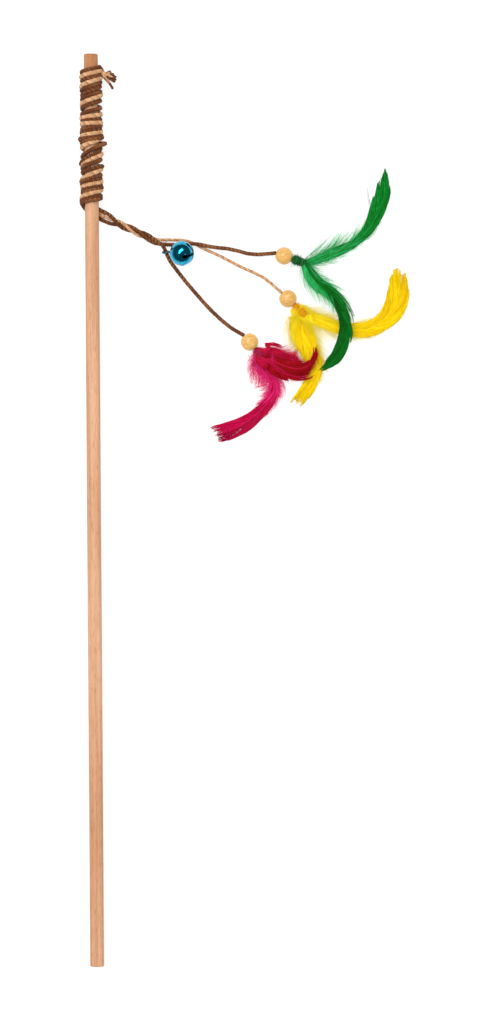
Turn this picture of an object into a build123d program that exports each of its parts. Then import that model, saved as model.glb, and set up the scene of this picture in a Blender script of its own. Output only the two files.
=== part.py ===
from build123d import *
import math
import os

# Cat teaser wand lying on a flat surface. Origin at the centre of the stick's handle end, on the stick's
# axis. +Y runs along the stick to its tip, +X to the side where the tassels lie, +Z up. Millimetres.

# Stick
stick_diameter = 8.0
stick_length = 520.0
stick_edge_round = 0.8

# Yarn cords: the red and green tassels hang on brown cords, the yellow one on a beige cord
brown_diameter = 2.2
beige_diameter = 2.0
cord_clearance = 0.15
joint_clearance = 0.25

# Winding of the three cords round the stick's tip
winding_setback = 9.0
winding_length = 80.1
winding_run_in = 4.024
winding_turns = 10.64
winding_pitch = (winding_length - winding_run_in) / winding_turns
tail_straight = 2.4
tail_drop = 0.15

# Lead: the three cords twisted together, from the stick to the place where they part
lead_slope = 25.9
lead_start = 6.8
lead_length = 36.2
twist_pitch = 26.0
twist_gap = 0.3
twist_start = 12.0
twist_end = 34.2
twist_lift = 0.1

# Beads
bead_diameter = 10.0
bead_bore_clearance = 0.3
bead_mouth_gap = 0.1

# Thread bindings behind the beads
binding_length = 6.0
binding_wall = 0.9
binding_gap = 0.2
binding_hold = 2.6
binding_rim = 0.6
binding_swell = 0.45

# Feathers
quill_width = 0.9
quill_spread = 1.1
quill_free = 1.0
quill_share = 0.25
blade_thickness = 0.9
blade_thinning = 0.55
blade_shoulder = 0.5
blade_rest_height = 1.3
blade_over_height = 4.6
blade_high_height = 6.4

# Bell
bell_diameter = 14.0
bell_wall = 0.5
bell_height = 8.1
bell_lip = 0.15
bell_lip_width = 1.2
loop_wire = 0.8
loop_clearance = 0.5
loop_reach = 10.0
slot_width = 1.1
slot_end_diameter = 2.2
slot_half_angle = 48.0
pellet_diameter = 4.0
pellet_clearance = 0.2

# Places on the surface, measured sideways from the stick's axis and along it from the point where the
# lead's line meets the axis
bell_place = (51.1, -24.9)
loop_place = (42.0, -24.0)
bead_places = {"green": (109.3, -26.6), "yellow": (111.3, -51.0), "red": (89.3, -75.5)}
tassel_angles = {"green": -20.0, "yellow": -44.0, "red": -50.0}

stick_radius = stick_diameter / 2
brown_radius = brown_diameter / 2
beige_radius = beige_diameter / 2
bead_radius = bead_diameter / 2
bell_radius = bell_diameter / 2
cord_radius = {"red": brown_radius, "yellow": beige_radius, "green": brown_radius}
colours = ("red", "yellow", "green")

# The stick lies on its handle end's edge and on the winding, so it leans a little
floor = -stick_radius
helix_radius = stick_radius + cord_clearance + brown_radius
winding_radius = helix_radius + brown_radius
exit_y = stick_length - winding_setback - winding_length
lean = math.atan((winding_radius - stick_radius) / (exit_y - 2 * lead_start))
lead_along = Vector(math.cos(math.radians(lead_slope)), -math.sin(math.radians(lead_slope)), 0)
lead_across = Vector(math.sin(math.radians(lead_slope)), math.cos(math.radians(lead_slope)), 0)
up = Vector(0, 0, 1)


def leaned(point):
    """Turn a point of the upright stick's frame with the leaning stick."""
    x, y, z = point
    return Vector(x, y * math.cos(lean) - z * math.sin(lean), y * math.sin(lean) + z * math.cos(lean))


def placed(x, y, height):
    """A point by its place on the surface and its height above it."""
    return Vector(x, exit_y + y, floor + height)


def save(shape, name):
    shape.label = name
    export_step(shape, f"parts/{name}.step")


# Tubes

def tube(path, radius):
    """A round tube along a path of lines and tangent arcs."""
    start = Plane(origin=path @ 0, z_dir=path % 0)
    solid = sweep(start * Circle(radius), path=path)
    error = abs(solid.volume / (math.pi * radius**2 * path.length) - 1)
    print(f"  length {path.length:.1f}, volume off by {error:.4f}")
    return solid


def cord_path(points):
    """Straight runs joined by arcs as large as the runs allow."""
    points = [Vector(*p) for p in points]
    radii = []
    for before, here, after in zip(points, points[1:], points[2:]):
        turn = math.radians((here - before).get_angle(after - here))
        run = min((here - before).length, (after - here).length)
        radii.append(0.45 * run / math.tan(turn / 2))
    print("  radii", [round(r, 1) for r in radii])
    return Wire(FilletPolyline(*points, radius=radii).edges())


def biarc(start, start_dir, end, end_dir):
    """Two arcs that leave the start and reach the end along the given directions."""
    chord = end - start
    turn = 2 * (1 - start_dir.dot(end_dir))
    along = chord.dot(start_dir + end_dir)
    reach = (math.sqrt(along**2 + turn * chord.dot(chord)) - along) / turn
    middle = (start + start_dir * reach + end - end_dir * reach) * 0.5
    first = TangentArc(start, middle, tangent=start_dir)
    return [first, TangentArc(middle, end, tangent=first % 1)]


# Winding: three cords side by side, running up the stick as a right-handed screw

winding_order = {"red": 1, "yellow": 0, "green": -1}
row_gap = brown_radius + beige_radius + joint_clearance
row_gap_y = row_gap / math.cos(math.radians(lead_slope))
entry_rise = math.tan(math.radians(lead_slope)) * helix_radius
pitch_rise = winding_pitch / (2 * math.pi)


def wound_point(colour, turn):
    """Point and direction of a wound cord, turn counted from the stick's underside."""
    early = max(0.0, 1 - 2 * turn)
    angle = 2 * math.pi * turn - math.pi
    step = winding_pitch / 3 + (row_gap_y - winding_pitch / 3) * early**2
    easing = (entry_rise - pitch_rise) * math.pi / 3 * (1 - early**3)
    y = exit_y + winding_order[colour] * step + pitch_rise * (angle + math.pi) + easing
    rise = pitch_rise + (entry_rise - pitch_rise) * early**2
    rise -= winding_order[colour] * 2 * (row_gap_y - winding_pitch / 3) * early / math.pi
    point = Vector(helix_radius * math.sin(angle), y, helix_radius * math.cos(angle))
    direction = Vector(helix_radius * math.cos(angle), rise, -helix_radius * math.sin(angle))
    return leaned(point), (leaned(point + direction) - leaned(point)).normalized()


def lead_joint(colour):
    """Centre of a cord's rounded end where the lead hinges at the stick's side."""
    row = lead_along * (lead_start / lead_along.X) + lead_across * (winding_order[colour] * row_gap)
    return leaned((row.X, exit_y + row.Y, -helix_radius))


# Cut tails at the winding's upper end: place beside the winding's end, height and direction
tail_places = {"red": (14.8, -3.0, 1.8), "yellow": (8.6, -0.4, 3.6), "green": (12.9, -4.4, 1.5)}
tail_headings = {"red": -32.0, "yellow": -6.0, "green": -66.0}
tail_turns = {"red": 0.0, "yellow": -0.02, "green": -0.05}


def wound_end(colour):
    """Point and direction where a wound cord leaves the stick's front for its tail."""
    point, direction = wound_point(colour, winding_turns + tail_turns[colour])
    return point + direction * (2 * cord_radius[colour]), direction


def winding(colour):
    """One cord from the lead's joint, under the stick and round it up to its tail."""
    radius = cord_radius[colour]
    points = []
    directions = []
    turns = winding_turns + tail_turns[colour]
    steps = math.ceil(4 * turns)
    for i in range(steps + 1):
        point, direction = wound_point(colour, turns * i / steps)
        points.append(point)
        directions.append(direction)
    run = (points[0] - lead_joint(colour)).length - radius - joint_clearance
    edges = [Line(points[0] - directions[0] * run, points[0])]
    for i in range(steps):
        edges += biarc(points[i], directions[i], points[i + 1], directions[i + 1])
    edges.append(Line(points[-1], wound_end(colour)[0]))
    gaps = []
    for i in range(steps + 1):
        for j in range(i + 2, steps + 1):
            gaps.append((points[i] - points[j]).length - 2 * radius)
    print(f"winding {colour}: least gap to itself {min(gaps):.2f}")
    return tube(Wire(edges), radius)


def tail(colour):
    """The cut end of a wound cord, hanging off the stick's side."""
    start, direction = wound_end(colour)
    x, y, height = tail_places[colour]
    heading = math.radians(tail_headings[colour])
    end_dir = Vector(math.cos(heading), math.sin(heading), -tail_drop).normalized()
    end = Vector(x, start.Y + y, floor + height)
    edges = biarc(start, direction, end, end_dir)
    edges.append(Line(end, end + end_dir * tail_straight))
    print(f"tail {colour}")
    return tube(Wire(edges), cord_radius[colour])


# Lead: sideways place, height above the row and distance along the lead, before the steady twist
lead_in = {
    "red": [(3.0, 2.2, 1.15), (6.0, 0.95, 2.5), (9.0, -0.8, 2.75)],
    "yellow": [(3.0, 0.1, 0.02), (6.0, 0.3, 0.05), (9.0, 1.5, 1.1)],
    "green": [(3.0, -2.25, 0.05), (6.0, -1.85, 0.12), (9.0, -0.85, 0.05)],
}
twist_angles = {"red": 140.0, "yellow": 20.0, "green": 260.0}
twist_radius = (brown_diameter + twist_gap) / math.sqrt(3)
twist_steps = 8
twist_height = brown_radius + twist_radius + twist_lift

# Bell's place: its loop reaches down to the red tassel's cord
bell_centre = placed(*bell_place, bell_height)
loop_flat = placed(*loop_place, bell_height) - bell_centre
loop_drop = math.sqrt(loop_reach**2 - loop_flat.length**2)
bell_up = (loop_flat - up * loop_drop).normalized()
loop_centre = bell_centre + bell_up * loop_reach
loop_lift = loop_centre.Z - floor - brown_radius

# Lead past the twist: place on the surface and height above lying flat
lead_out = {
    "red": [(39.7, -19.4, 2.5), (41.0, -21.6, 2.8), (*loop_place, loop_lift), (43.2, -27.0, 1.7)],
    "yellow": [(43.0, -16.9, 0.7), (48.2, -16.9, 0.05), (53.4, -17.2, 0.0), (58.2, -19.0, 0.0),
               (62.6, -21.6, 0.0)],
    "green": [(43.4, -19.6, 0.1), (47.6, -19.7, 0.0), (51.6, -19.6, 0.2), (54.8, -19.3, 1.75),
              (58.2, -19.2, 2.5), (62.4, -19.9, 2.0)],
}

# Free strands: first point is the hinge at the lead's end, the last one is the bead's mouth
strand_points = {
    "red": [(44.6, -29.6, 0.5), (47.3, -33.2, 0.0), (52.6, -40.2, 0.0), (58.4, -47.0, 0.0), (64.1, -53.7, 0.0),
            (69.7, -59.5, 0.0), (75.4, -64.7, 0.2), (81.0, -68.9, 1.7)],
    "yellow": [(67.6, -24.0, 0.0), (71.7, -25.7, 0.0), (78.0, -29.0, 0.0), (84.2, -32.4, 0.0), (91.4, -35.5, 0.0),
               (97.6, -38.7, 0.4), (102.8, -43.0, 2.2)],
    "green": [(67.2, -20.9, 0.3), (71.2, -21.5, 0.0), (76.8, -22.0, 0.0), (82.4, -23.2, 0.0), (88.6, -25.1, 0.0),
              (94.6, -25.6, 0.6), (100.0, -25.3, 2.3)],
}


def lying(colour, points):
    return [placed(x, y, cord_radius[colour] + lift) for x, y, lift in points]


def strand_joint(colour):
    return lying(colour, strand_points[colour][:1])[0]


def lead(colour):
    """One cord of the twisted lead, with a rounded end at the stick and a flat one at its strand."""
    radius = cord_radius[colour]
    start = lead_joint(colour)
    line = start - lead_across * (winding_order[colour] * row_gap)
    points = [start]
    for along, side, rise in lead_in[colour]:
        points.append(line + lead_along * along + lead_across * side + up * rise)
    for i in range(twist_steps + 1):
        along = twist_start + (twist_end - twist_start) * i / twist_steps
        angle = math.radians(twist_angles[colour] + 360 * (along - lead_length) / twist_pitch)
        centre = line + lead_along * along
        centre = Vector(centre.X, centre.Y, floor + twist_height)
        side = lead_across * (twist_radius * math.cos(angle))
        points.append(centre + side + up * (twist_radius * math.sin(angle)))
    points += lying(colour, lead_out[colour])
    joint = strand_joint(colour)
    back = (points[-1] - joint).normalized() * (radius + joint_clearance)
    points.append(joint + back)
    print(f"lead {colour}")
    return tube(cord_path(points), radius) + Pos(start) * Sphere(radius)


# Tassels

def tassel_along(colour):
    angle = math.radians(tassel_angles[colour])
    return Vector(math.cos(angle), math.sin(angle), 0)


def bead_centre(colour):
    return placed(*bead_places[colour], bead_radius)


def bead_joint(colour):
    """Centre of the strand's rounded end, just outside the bead's mouth."""
    return bead_centre(colour) - tassel_along(colour) * (bead_radius + bead_mouth_gap)


def strand(colour):
    radius = cord_radius[colour]
    joint = bead_joint(colour)
    points = lying(colour, strand_points[colour]) + [joint]
    print(f"strand {colour}")
    ends = Pos(points[0]) * Sphere(radius) + Pos(joint) * Sphere(radius)
    return tube(cord_path(points), radius) + ends


def along_tassel(colour, distance):
    """Plane square to a tassel's axis, at a distance behind its bead's centre."""
    along = tassel_along(colour)
    return Plane(origin=bead_centre(colour) + along * distance, x_dir=up, z_dir=along)


binding_start = bead_radius + joint_clearance


def bead(colour):
    bore = cord_radius[colour] + bead_bore_clearance
    hole = along_tassel(colour, 0) * Cylinder(bore, 2 * bead_diameter)
    return Pos(bead_centre(colour)) * Sphere(bead_radius) - hole


def cord_end(colour):
    """The end of the cord inside the bead and the first part of its binding."""
    radius = cord_radius[colour]
    first = -(bead_radius + bead_mouth_gap) + radius + joint_clearance
    length = binding_start + binding_hold - first
    return along_tassel(colour, first + length / 2) * Cylinder(radius, length)


def binding(colour):
    """Wound thread round the cord's end and the quills, thickest in its middle."""
    inner = cord_radius[colour] + binding_gap
    outer = inner + binding_wall
    rim = outer - binding_swell
    half = binding_length / 2
    profile = Polyline((inner, -half), (rim, -half), (rim, -half + binding_rim))
    profile += ThreePointArc((rim, -half + binding_rim), (outer, 0), (rim, half - binding_rim))
    profile += Polyline((rim, half - binding_rim), (rim, half), (inner, half), (inner, -half))
    sleeve = revolve(Plane.XZ * make_face(profile), axis=Axis.Z)
    return along_tassel(colour, binding_start + half) * sleeve


# Feathers: spine places past the binding, measured from the bead's centre, half widths left and right of the
# spine, where the blade is widest, height of the blade, and which of the two quills lies on top
feathers = {
    "feather_green_upper": (
        "green", [(20.7, -1.5), (40.5, 7.9), (51.1, 19.0), (57.3, 34.2), (58.9, 49.6)],
        4.6, 2.9, 0.72, blade_rest_height, -1),
    "feather_green_lower": (
        "green", [(17.9, -13.8), (27.2, -22.8), (34.9, -35.8), (33.3, -51.1), (20.5, -64.8)],
        2.4, 4.4, 0.6, blade_high_height, 1),
    "feather_yellow_right": (
        "yellow", [(18.7, -12.2), (33.7, -18.3), (47.1, -17.0), (60.3, -5.2), (63.9, 15.4)],
        5.8, 5.4, 0.75, blade_rest_height, 1),
    "feather_yellow_lower": (
        "yellow", [(9.1, -18.6), (13.7, -29.6), (15.7, -38.2), (11.3, -50.5), (4.9, -59.4)],
        3.6, 5.6, 0.5, blade_rest_height, -1),
    "feather_magenta": (
        "red", [(7.9, -12.9), (13.6, -24.1), (10.5, -34.1), (-1.9, -45.7), (-19.1, -52.4)],
        4.0, 3.6, 0.7, blade_rest_height, -1),
    "feather_dark_red": (
        "red", [(12.1, -11.3), (17.3, -13.4), (25.9, -15.5), (33.3, -13.1), (38.3, -4.7)],
        4.8, 4.4, 0.6, blade_over_height, 1),
}
feather_stations = 18


def blade_share(share, widest):
    """Blade width along a feather, as a share of its widest place."""
    if share < widest:
        return math.sin(math.pi / 2 * share / widest) ** 0.8
    return math.sqrt(max(0.0, 1 - ((share - widest) / (1 - widest)) ** 2))


def flat_face(*points):
    return Face(Wire.make_polygon(points))


def skin(rings):
    """A closed solid of flat triangles over rings of as many points each."""
    faces = [flat_face(*rings[0]), flat_face(*rings[-1])]
    for ring, after in zip(rings, rings[1:]):
        for k in range(len(ring)):
            faces.append(flat_face(ring[k - 1], ring[k], after[k]))
            faces.append(flat_face(ring[k - 1], after[k], after[k - 1]))
    return Solid(Shell(faces))


def feather(name):
    """A quill that opens into a thin lens-shaped blade along a curved spine."""
    colour, places, left, right, widest, blade_height, side = feathers[name]
    along = tassel_along(colour)
    quill_offset = up * (side * quill_spread / 2)
    start = bead_centre(colour) + along * (binding_start + binding_hold + joint_clearance) + quill_offset
    leave = bead_centre(colour) + along * (binding_start + binding_length + quill_free) + quill_offset
    quill_height = leave.Z - floor
    drop_height = blade_height
    if blade_height == blade_rest_height:
        drop_height = (quill_height + 2 * blade_height) / 3
    heights = [drop_height] + [blade_height] * (len(places) - 1)
    bead_x, bead_y = bead_places[colour]
    spine_points = [start, leave] + [placed(bead_x + x, bead_y + y, h) for (x, y), h in zip(places, heights)]
    spine = Spline(*spine_points)
    bare = (leave - start).length / spine.length
    sections = []
    for i in range(feather_stations + 1):
        share = i / feather_stations
        blade = max(0.0, (share - quill_share) / (1 - quill_share))
        station = bare + (1 - bare) * blade if blade else bare * share / quill_share
        direction = spine % station
        flat_left = Vector(-direction.Y, direction.X, 0).normalized()
        grown = blade_share(blade, widest)
        left_half = quill_width / 2 + (left - quill_width / 2) * grown
        right_half = quill_width / 2 + (right - quill_width / 2) * grown
        half_thick = blade_thickness / 2 * (1 - blade_thinning * blade) if blade else quill_width / 2
        plane = Plane(origin=spine @ station, x_dir=flat_left, z_dir=direction)
        near_left = left_half * blade_shoulder
        near_right = right_half * blade_shoulder
        outline = [(left_half, 0), (near_left, half_thick), (-near_right, half_thick),
                   (-right_half, 0), (-near_right, -half_thick), (near_left, -half_thick)]
        sections.append([plane.from_local_coords(Vector(x, y, 0)) for x, y in outline])
    return skin(sections)


# Bell

cord_there = lying("red", lead_out["red"])
cord_there = (cord_there[3] - cord_there[1]).normalized()
loop_axis = (cord_there - bell_up * cord_there.dot(bell_up)).normalized()
bell_plane = Plane(origin=bell_centre, x_dir=loop_axis, z_dir=bell_up)
bell_inner = bell_radius - bell_wall


def half_space(sign):
    return Pos(0, 0, sign * bell_diameter) * Box(4 * bell_diameter, 4 * bell_diameter, 2 * bell_diameter)


def bell_loop_shell():
    shell = (Sphere(bell_radius) - Sphere(bell_inner)) & half_space(1)
    return bell_plane * shell


def bell_slot_shell():
    """The far half: a crossed pair of slots with round ends, and the crimped lip at the seam."""
    shell = (Sphere(bell_radius) - Sphere(bell_inner)) & half_space(-1)
    lip = Pos(0, 0, -bell_lip_width / 2) * Cylinder(bell_radius + bell_lip, bell_lip_width)
    shell = shell + (lip - Sphere(bell_radius - bell_wall / 2))
    depth = bell_radius * math.cos(math.radians(slot_half_angle))
    reach = bell_radius * math.sin(math.radians(slot_half_angle))
    for turn in (0, 90):
        slot = Pos(0, 0, -bell_radius) * Box(2 * reach, slot_width, bell_diameter - depth)
        shell = shell - Rot(0, 0, turn) * slot
        for sign in (-1, 1):
            end = Pos(sign * reach, 0, -bell_radius) * Cylinder(slot_end_diameter / 2, bell_diameter)
            shell = shell - Rot(0, 0, turn) * end
    return bell_plane * shell


def bell_loop():
    """A wire eye round the red tassel's cord, on a short stem from the bell."""
    eye_radius = brown_radius + loop_clearance + loop_wire / 2
    eye = Plane(origin=loop_centre, z_dir=loop_axis) * Torus(eye_radius, loop_wire / 2)
    stem_length = loop_reach - eye_radius
    stem = bell_plane * (Pos(0, 0, stem_length / 2) * Cylinder(loop_wire / 2, stem_length))
    return eye + (stem - Pos(bell_centre) * Sphere(bell_radius))


def bell_pellet():
    drop = bell_inner - pellet_diameter / 2 - pellet_clearance
    return Pos(bell_centre - up * drop) * Sphere(pellet_diameter / 2)


def stick():
    rod = Rot(-90, 0, 0) * Pos(0, 0, stick_length / 2) * Cylinder(stick_radius, stick_length)
    rod = fillet(rod.edges().filter_by(GeomType.CIRCLE), stick_edge_round)
    return Rot(math.degrees(lean), 0, 0) * rod


os.makedirs("parts", exist_ok=True)
save(stick(), "stick")
for colour in colours:
    save(winding(colour), f"winding_{colour}")
    save(tail(colour), f"tail_{colour}")
    save(lead(colour), f"lead_{colour}")
    save(strand(colour), f"strand_{colour}")
    save(bead(colour), f"bead_{colour}")
    save(cord_end(colour), f"cord_end_{colour}")
    save(binding(colour), f"binding_{colour}")
for name in feathers:
    save(feather(name), name)
save(bell_loop_shell(), "bell_loop_shell")
save(bell_slot_shell(), "bell_slot_shell")
save(bell_loop(), "bell_loop")
save(bell_pellet(), "bell_pellet")
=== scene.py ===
import math
import random

import bpy
import numpy as np
from mathutils import Matrix, Vector


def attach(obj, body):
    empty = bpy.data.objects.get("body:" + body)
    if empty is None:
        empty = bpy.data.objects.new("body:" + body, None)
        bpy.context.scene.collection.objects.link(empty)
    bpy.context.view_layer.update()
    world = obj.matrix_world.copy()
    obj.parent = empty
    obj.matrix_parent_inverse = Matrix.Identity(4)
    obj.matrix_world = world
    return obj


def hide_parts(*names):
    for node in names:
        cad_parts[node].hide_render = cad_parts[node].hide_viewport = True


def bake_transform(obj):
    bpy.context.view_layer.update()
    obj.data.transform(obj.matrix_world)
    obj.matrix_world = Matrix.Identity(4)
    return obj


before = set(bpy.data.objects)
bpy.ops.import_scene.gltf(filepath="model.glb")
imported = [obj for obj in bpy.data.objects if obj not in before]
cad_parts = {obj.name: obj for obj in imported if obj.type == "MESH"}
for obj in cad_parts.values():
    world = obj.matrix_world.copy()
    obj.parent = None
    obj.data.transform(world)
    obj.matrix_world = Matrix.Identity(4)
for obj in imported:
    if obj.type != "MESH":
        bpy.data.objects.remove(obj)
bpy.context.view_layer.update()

# A cat teaser wand that lies on a white table, seen straight from above. Lengths are in millimetres and are
# turned into metres where points are made. +Y runs along the stick to its tip, +Z is up.
mm = 0.001
floor_z = -4.0
exit_y = 430.9
stick_radius = 4.0
stick_length = 520.0
stick_round = 0.8
stick_lean = 0.005631
brown_radius = 1.1
beige_radius = 1.0
bead_radius = 5.0
bead_bore = 1.4
binding_start = 5.25
binding_length = 6.0
colours = ("red", "yellow", "green")
cord_radius = {"red": brown_radius, "yellow": beige_radius, "green": brown_radius}


def place(x, y, height):
    """A point by its place beside the stick's axis and along it from the lead's exit, and its height."""
    return np.array((x, exit_y + y, floor_z + height)) * mm


def linked(name, data):
    """A new object in the scene."""
    obj = bpy.data.objects.new(name, data)
    bpy.context.scene.collection.objects.link(obj)
    return obj


def smooth_mesh(name, points, faces, materials):
    mesh = bpy.data.meshes.new(name)
    mesh.from_pydata(points.tolist(), [], faces)
    mesh.polygons.foreach_set("use_smooth", [True] * len(faces))
    for material in materials:
        mesh.materials.append(material)
    return mesh


# Camera: straight down, turned a little

camera_height = 3000.0
view_centre = (86.3, 258.5)
view_height = 583.7
camera_turn = -0.3965
sensor = 36.0


def make_camera():
    data = bpy.data.cameras.new("camera")
    data.sensor_width = sensor
    data.lens = sensor * camera_height / view_height
    camera = linked("camera", data)
    camera.location = (view_centre[0] * mm, view_centre[1] * mm, camera_height * mm)
    camera.rotation_euler = (0, 0, math.radians(camera_turn))
    bpy.context.scene.camera = camera


make_camera()

# Meshes of many thin strands

# A direction that no round piece runs along, and one that is almost upright
slanted = (0.3, 0.2, 0.93)
nearly_up = (0.02, 0.03, 1.0)


def unit(vectors):
    return vectors / np.maximum(np.linalg.norm(vectors, axis=-1, keepdims=True), 1e-12)


def travelled(path):
    """Distance along a path, at each of its points."""
    return np.concatenate([[0.0], np.cumsum(np.linalg.norm(np.diff(path, axis=0), axis=1))])


def resampled(path, step):
    """The same path with evenly spaced points."""
    path = np.asarray(path, float)
    along = travelled(path)
    count = max(2, int(round(along[-1] / step)) + 1)
    even = np.linspace(0, along[-1], count)
    return np.stack([np.interp(even, along, path[:, k]) for k in range(3)], axis=1)


def framed(path):
    """Tangents and two cross directions that don't spin along the path."""
    tangents = unit(np.gradient(path, axis=0))
    first = np.empty_like(path)
    start = np.cross(tangents[0], slanted)
    first[0] = start / np.linalg.norm(start)
    for i in range(1, len(path)):
        carried = first[i - 1] - tangents[i] * (first[i - 1] @ tangents[i])
        first[i] = carried / np.linalg.norm(carried)
    return tangents, first, np.cross(tangents, first)


def circle(first, second, sides):
    """Directions round the circle that two cross directions span."""
    angles = np.arange(sides)[:, None] * 2 * math.pi / sides
    return np.cos(angles) * first[..., None, :] + np.sin(angles) * second[..., None, :]


class Strands:
    """Collects tubes and flat strips into one mesh, with a shade from 0 to 1 at each point."""

    def __init__(self):
        self.points = []
        self.shades = []
        self.faces = []
        self.count = 0

    def add(self, rings, shades):
        """Closed skins over rings of points: an array of strand, ring, point of the ring, coordinate."""
        strands, stations, sides, _ = rings.shape
        index = np.arange(strands * stations * sides).reshape(strands, stations, sides) + self.count
        shifted = np.roll(index, -1, axis=2)
        walls = np.stack([index[:, :-1], shifted[:, :-1], shifted[:, 1:], index[:, 1:]], axis=-1)
        self.faces += walls.reshape(-1, 4).tolist()
        self.faces += index[:, 0, ::-1].tolist()
        self.faces += index[:, -1].tolist()
        self.points.append(rings.reshape(-1, 3))
        self.shades.append(np.repeat(shades.reshape(-1), sides))
        self.count += index.size

    def tube(self, path, radius, sides, shade):
        """A round tube along a path; radius and shade are one number or one for each point."""
        path = np.asarray(path, float)
        radii = np.broadcast_to(radius, len(path))
        _, first, second = framed(path)
        rings = path[:, None] + circle(first, second, sides) * radii[:, None, None]
        self.add(rings[None], np.broadcast_to(shade, len(path))[None].astype(float))

    def strips(self, paths, width, thickness, shades):
        """Flat strips that lie level, one for each path, with a width at each point."""
        tangents = unit(np.gradient(paths, axis=1))
        level = unit(np.cross(tangents, nearly_up))
        upright = np.cross(level, tangents)
        half = 0.5 * width[..., None] * level
        thick = 0.5 * np.minimum(thickness, width)[..., None] * upright
        rings = np.stack([paths + half, paths + thick, paths - half, paths - thick], axis=2)
        self.add(rings, shades)

    def made(self, name, material):
        """The collected strands as one object, with nothing below the table."""
        points = np.concatenate(self.points)
        points[:, 2] = np.maximum(points[:, 2], floor_z * mm)
        mesh = smooth_mesh(name, points, self.faces, [material])
        attribute = mesh.attributes.new("shade", "FLOAT", "POINT")
        attribute.data.foreach_set("value", np.concatenate(self.shades).astype(np.float32))
        return linked(name, mesh)


# Materials

white = (1, 1, 1)
mottling = 0.36
bump_depth = 0.1
# Along the stick: where the painted shade at its tip starts, and where it is full
painted_tip_shade_from = 485.0
painted_tip_shade_full = 500.0


def new_material(name, roughness, **sockets):
    """A material whose constant sockets are set straight on its shader."""
    material = bpy.data.materials.new(name)
    material.use_nodes = True
    shader = material.node_tree.nodes["Principled BSDF"]
    shader.inputs["Roughness"].default_value = roughness
    for socket, value in sockets.items():
        shader.inputs[socket.replace("_", " ")].default_value = value
    return material, material.node_tree, shader


def node(tree, kind, **values):
    made = tree.nodes.new(kind)
    for key, value in values.items():
        if hasattr(made, key):
            setattr(made, key, value)
        else:
            made.inputs[key.replace("_", " ")].default_value = value
    return made


def joined(tree, kind, *sources, **values):
    """The first output of a new node whose first sockets take the sources, which are numbers or links."""
    made = node(tree, kind, **values)
    for socket, source in zip(made.inputs, sources):
        if isinstance(source, (int, float)):
            socket.default_value = source
        else:
            tree.links.new(source, socket)
    return made.outputs[0]


def stretched(tree, scale):
    """Object coordinates stretched along the axes."""
    coordinates = node(tree, "ShaderNodeTexCoord")
    return joined(tree, "ShaderNodeMapping", coordinates.outputs["Object"], Scale=scale)


def ramp(tree, factor, stops):
    """Colours between the given places from 0 to 1."""
    made = node(tree, "ShaderNodeValToRGB")
    elements = made.color_ramp.elements
    while len(elements) < len(stops):
        elements.new(0.5)
    for element, (position, colour) in zip(elements, stops):
        element.position = position
        element.color = (*colour, 1)
    tree.links.new(factor, made.inputs["Fac"])
    return made.outputs["Color"]


def noise(tree, stretch, detail):
    return joined(tree, "ShaderNodeTexNoise", stretched(tree, stretch), Scale=1.0, Detail=detail)


def bump(tree, shader, height, strength):
    made = node(tree, "ShaderNodeBump", Strength=strength, Distance=bump_depth * mm)
    tree.links.new(height, made.inputs["Height"])
    tree.links.new(made.outputs["Normal"], shader.inputs["Normal"])


def remapped(tree, value, **limits):
    return joined(tree, "ShaderNodeMapRange", value, **limits)


def calculated(tree, operation, *values):
    return joined(tree, "ShaderNodeMath", *values, operation=operation)


def multiplied(tree, first, second, factor):
    """One colour darkened by another."""
    made = node(tree, "ShaderNodeMix", data_type="RGBA", blend_type="MULTIPLY")
    made.inputs["Factor"].default_value = factor
    tree.links.new(first, made.inputs[6])
    tree.links.new(second, made.inputs[7])
    return made.outputs[2]


def strand_material(name, dark, mid, light, roughness, sheen, grain):
    """Dyed fibres: the colour follows each strand's shade, with a little mottling."""
    material, tree, shader = new_material(name, roughness, Sheen_Weight=sheen, Sheen_Roughness=0.4,
                                          Specular_IOR_Level=0.08)
    shade = node(tree, "ShaderNodeAttribute", attribute_name="shade").outputs["Fac"]
    mottle = noise(tree, (grain, grain, grain), 3.0)
    uneven = calculated(tree, "MULTIPLY_ADD", mottle, mottling, -mottling / 2)
    factor = calculated(tree, "ADD", shade, uneven)
    colour = ramp(tree, factor, [(0.0, dark), (0.5, mid), (1.0, light)])
    tree.links.new(colour, shader.inputs["Base Color"])
    return material


def stick_material():
    """Bare beech: long soft streaks, short dark pores and brown flecks along the grain, and painted shade at
    the tip.
    """
    material, tree, shader = new_material("stick_wood", 0.55, Specular_IOR_Level=0.3)
    streaks = noise(tree, (330, 7, 330), 4.0)
    colour = ramp(tree, streaks, [(0.3, (0.52, 0.243, 0.123)), (0.5, (0.642, 0.347, 0.195)),
                                  (0.72, (0.725, 0.441, 0.273))])
    pores = noise(tree, (2600, 130, 2600), 2.0)
    pore_tint = ramp(tree, pores, [(0.3, (0.62, 0.5, 0.42)), (0.45, white), (1.0, white)])
    colour = multiplied(tree, colour, pore_tint, 0.55)
    flecks = noise(tree, (1100, 210, 1100), 1.0)
    fleck_tint = ramp(tree, flecks, [(0.0, white), (0.6, white), (0.72, (0.8, 0.66, 0.56))])
    colour = multiplied(tree, colour, fleck_tint, 0.6)
    along = node(tree, "ShaderNodeSeparateXYZ")
    tree.links.new(stretched(tree, (1, 1, 1)), along.inputs["Vector"])
    # Painted shade: the wood's colour turns darker and more orange towards the stick's tip
    tip = remapped(tree, along.outputs["Y"], From_Min=painted_tip_shade_from * mm, From_Max=painted_tip_shade_full * mm)
    painted_tip_shade = ramp(tree, tip, [(0.0, white), (1.0, (0.73, 0.57, 0.4))])
    colour = multiplied(tree, colour, painted_tip_shade, 1.0)
    tree.links.new(colour, shader.inputs["Base Color"])
    bump(tree, shader, pores, 0.25)
    return material


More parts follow.
